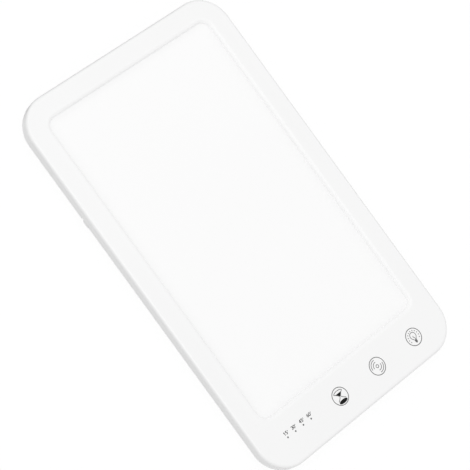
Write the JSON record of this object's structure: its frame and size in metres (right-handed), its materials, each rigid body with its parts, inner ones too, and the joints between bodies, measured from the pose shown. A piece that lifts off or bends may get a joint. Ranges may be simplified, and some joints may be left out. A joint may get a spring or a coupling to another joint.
{
  "type": "light therapy lamp",
  "caption": "Slim white light therapy lamp: rounded tablet body, large recessed diffuser, touch keys with timer lights and a fold-out stand in its back.",
  "frame": {"origin": "under the middle of the back, on the plane that the rubber feet rest on", "axes": "+Z leaves the lit face, +X to the lamp's right seen from the front, +Y to its top end; the touch keys are at the -Y end"},
  "size_m": [0.1516, 0.25, 0.011],
  "materials": {
    "frame_shell": "satin white moulding",
    "cover_shell": "fine matt white moulding",
    "opal_panel": "satin opal acrylic",
    "clear_plate": "clear acrylic",
    "white_film": "matt white film",
    "spreader_metal": "bare rolled sheet",
    "strip_board": "white solder mask",
    "diode_body": "phosphor yellow",
    "board_green": "green solder mask",
    "black_part": "matt black",
    "light_pipe": "smoked clear acrylic",
    "foam": "closed-cell foam",
    "pad_foam": "conductive foam",
    "can_metal": "drawn can",
    "contact_metal": "plated contact",
    "screw_steel": "zinc plated",
    "pin_steel": "ground steel",
    "foot_rubber": "soft grey rubber",
    "washer_nylon": "nylon"
  },
  "bodies": {
    "panel": {"front_frame": "frame_shell", "back_cover": "cover_shell", "diffuser_panel": "opal_panel", "diffusion_film": "white_film", "light_guide_plate": "clear_plate", "reflector_sheet": "white_film", "edge_tapes": "white_film", "heat_spreader": "spreader_metal", "foam_cushions": "foam", "light_strip_left": "strip_board", "light_strip_right": "strip_board", "strip_diodes_left": "diode_body", "strip_diodes_right": "diode_body", "control_board": "board_green", "touch_pads": "pad_foam", "timer_lights": "diode_body", "timer_light_pipe": "light_pipe", "timer_light_block": "black_part", "touch_controller": "black_part", "driver_inductor": "black_part", "filter_capacitor": "can_metal", "jack_housing": "black_part", "jack_centre_contact": "contact_metal", "jack_outer_contact": "contact_metal", "hinge_pins": "pin_steel", "hinge_washers": "washer_nylon", "case_screws": "screw_steel", "board_screws": "screw_steel", "rubber_feet": "foot_rubber"},
    "stand": {"stand_frame": "cover_shell", "stand_grip": "foot_rubber"}
  },
  "joints": [
    {"name": "stand_fold", "type": "hinge", "parent": "panel", "child": "stand", "pos_m": [0, 0.0536, 0.0027], "axis": [1, 0, 0], "range_deg": [0, 80]}
  ]
}
